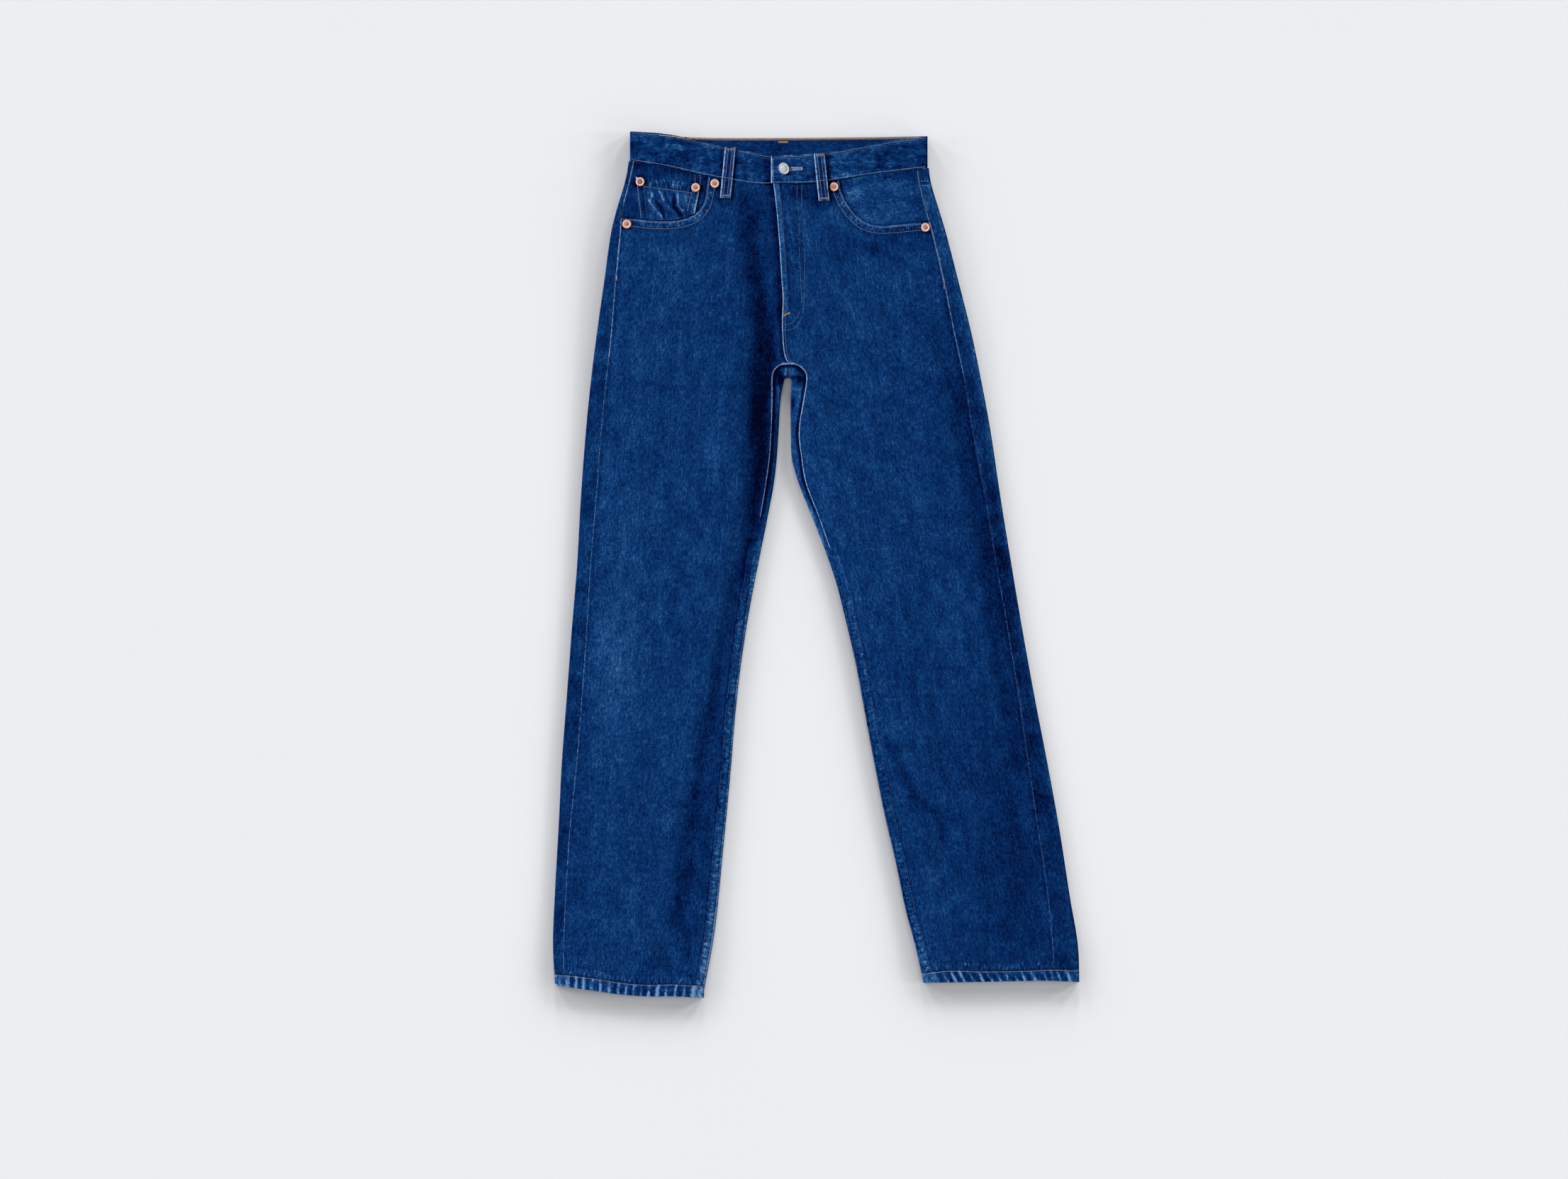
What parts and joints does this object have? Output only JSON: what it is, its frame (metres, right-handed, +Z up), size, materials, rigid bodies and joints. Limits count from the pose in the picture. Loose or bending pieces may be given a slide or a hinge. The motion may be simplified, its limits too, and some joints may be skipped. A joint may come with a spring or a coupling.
{
  "type": "straight leg jeans",
  "caption": "Pair of straight leg denim jeans laid flat, front up: waistband, yokes, fronts, backs, pockets, hems, belt loops, button and rivets.",
  "frame": {"origin": "under the middle of the flat garment, on the surface it lies on", "axes": "+Y towards the waistband, +X towards the wearer's left leg, +Z up off the surface, front side up"},
  "size_m": [0.6372, 1.0463, 0.0143],
  "materials": {
    "denim_front": "washed indigo denim, matt",
    "denim_back": "washed indigo denim, matt, darker",
    "denim_band": "washed indigo denim with pale abraded edges",
    "denim_hem": "roped indigo denim with pale ridges",
    "denim_pocket": "washed indigo denim, brighter",
    "thread_tan": "faded tan cotton thread",
    "thread_orange": "orange cotton thread",
    "thread_pale": "washed pale thread",
    "button_metal": "worn grey metal",
    "rivet_copper": "worn copper"
  },
  "bodies": {
    "root": {"front_right": "denim_front", "front_left": "denim_front", "back_right": "denim_back", "back_left": "denim_back", "yoke_right": "denim_back", "yoke_left": "denim_back", "pocket_facing_right": "denim_pocket", "pocket_facing_left": "denim_pocket", "coin_pocket": "denim_pocket", "back_pocket_right": "denim_back", "back_pocket_left": "denim_back", "hem_right": "denim_hem", "hem_left": "denim_hem", "waistband": "denim_band", "belt_loop_front_right": "denim_band", "belt_loop_front_left": "denim_band", "belt_loop_back_right": "denim_band", "belt_loop_back_centre": "denim_band", "belt_loop_back_left": "denim_band", "rivet_coin_outer": "rivet_copper", "rivet_coin_inner": "rivet_copper", "rivet_right_inner": "rivet_copper", "rivet_right_outer": "rivet_copper", "rivet_left_inner": "rivet_copper", "rivet_left_outer": "rivet_copper", "waist_button": "button_metal"}
  },
  "joints": []
}
